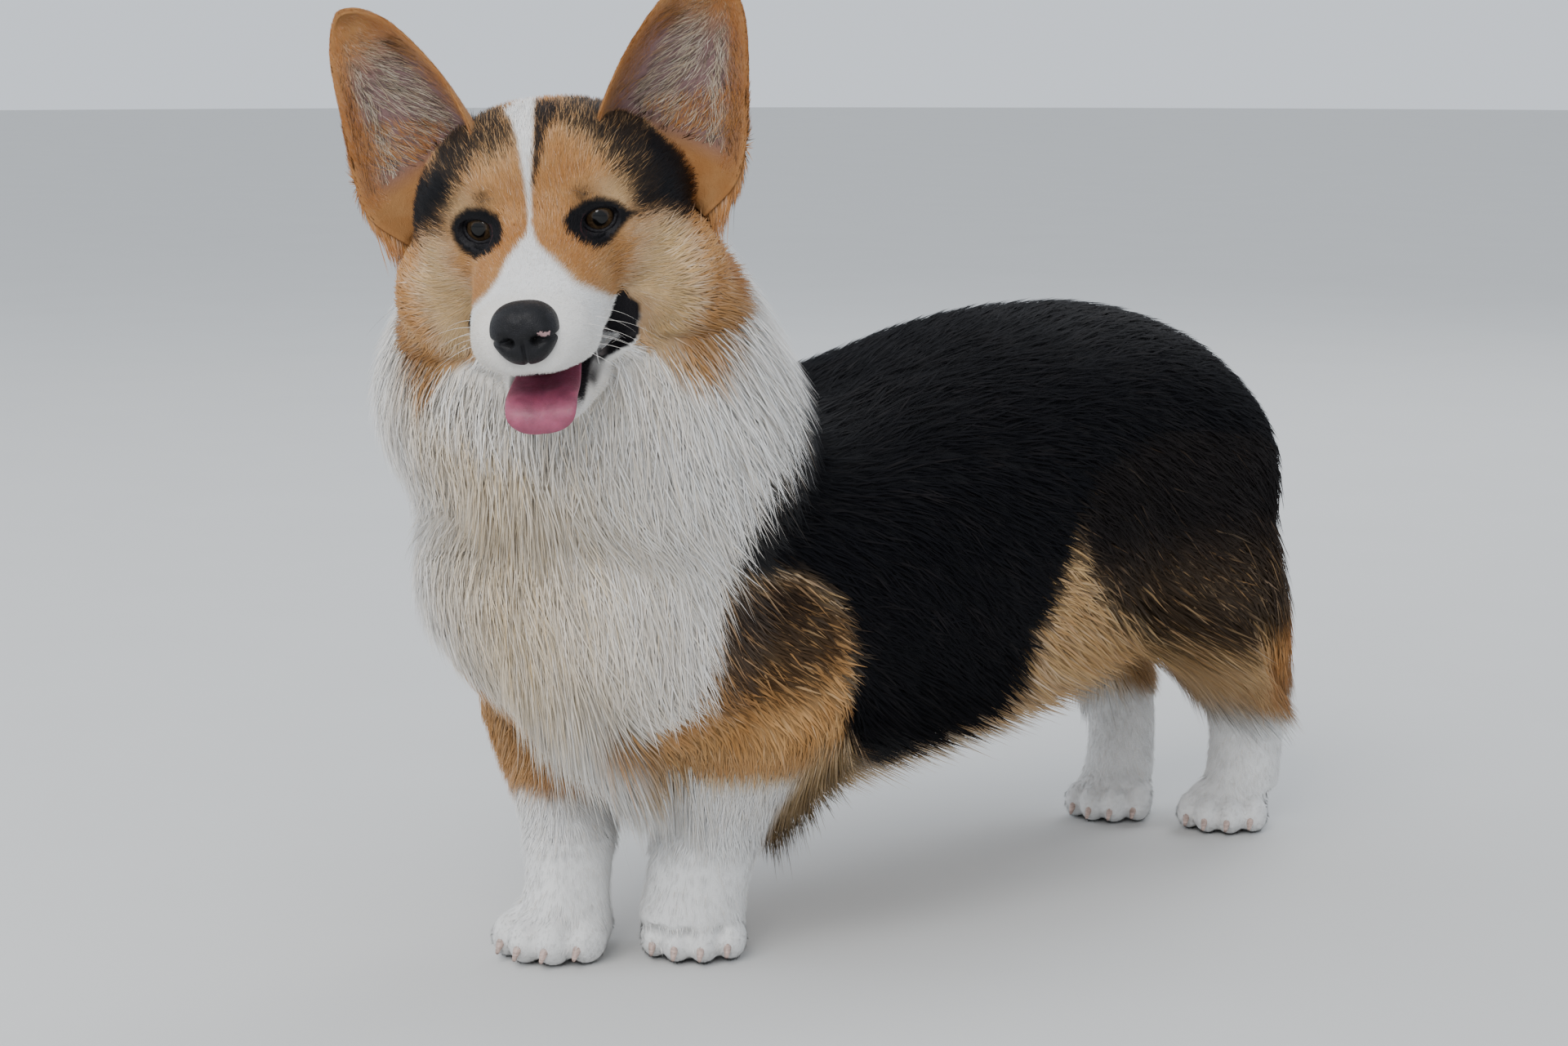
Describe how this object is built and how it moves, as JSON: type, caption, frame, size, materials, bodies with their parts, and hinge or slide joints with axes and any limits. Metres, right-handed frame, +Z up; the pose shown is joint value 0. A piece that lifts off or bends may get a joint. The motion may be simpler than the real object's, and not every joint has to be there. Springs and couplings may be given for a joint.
{
  "type": "pembroke welsh corgi",
  "caption": "Standing tricolour corgi, life size, head turned to its left, ears up and mouth open, on short legs with a deep ruff.",
  "frame": {"origin": "on the floor, under the middle of the model's box", "axes": "+Z up, +Y from the chest to the rump, +X to the dog's left"},
  "size_m": [0.2416, 0.6454, 0.4837],
  "materials": {
    "coat_white": "long and short dense fur, creamy white",
    "coat_black": "dense double coat, black with tan ticking",
    "coat_tan": "short soft fur, tan and grizzled",
    "nose_leather": "moist pebbled nose leather",
    "tongue_flesh": "moist pink flesh",
    "eye_glass": "wet dark brown eye"
  },
  "bodies": {
    "root": {"ear_left": "coat_tan", "ear_right": "coat_tan", "eye_left": "eye_glass", "eye_right": "eye_glass", "foreleg_left": "coat_white", "foreleg_right": "coat_white", "forepaw_left": "coat_white", "forepaw_right": "coat_white", "head": "coat_tan", "hindpaw_left": "coat_white", "hindpaw_right": "coat_white", "hock_left": "coat_white", "hock_right": "coat_white", "lower_jaw": "coat_white", "neck": "coat_white", "nose": "nose_leather", "tail": "coat_black", "thigh_left": "coat_black", "thigh_right": "coat_black", "tongue": "tongue_flesh", "torso": "coat_black"}
  },
  "joints": []
}
